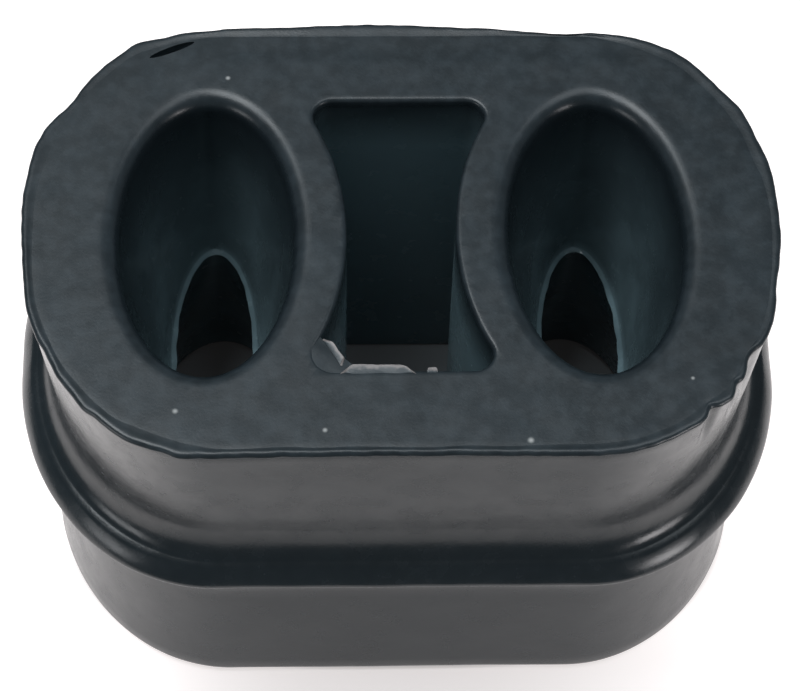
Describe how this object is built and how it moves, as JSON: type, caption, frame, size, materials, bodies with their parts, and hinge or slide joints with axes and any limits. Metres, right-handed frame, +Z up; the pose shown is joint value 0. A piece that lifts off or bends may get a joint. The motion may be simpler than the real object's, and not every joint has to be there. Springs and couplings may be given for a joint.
{
  "type": "exhaust hanger",
  "caption": "Moulded rubber exhaust hanger block with flared, necked rod holes either side of a waisted window, and a bead round its middle.",
  "frame": {"origin": "middle of the lower end face", "axes": "+X along the block's length, +Y across it, +Z up along the rod holes"},
  "size_m": [0.0688, 0.0472, 0.042],
  "materials": {
    "black_rubber": "moulded satin, faint bloom"
  },
  "bodies": {
    "root": {"hanger_block": "black_rubber"}
  },
  "joints": []
}
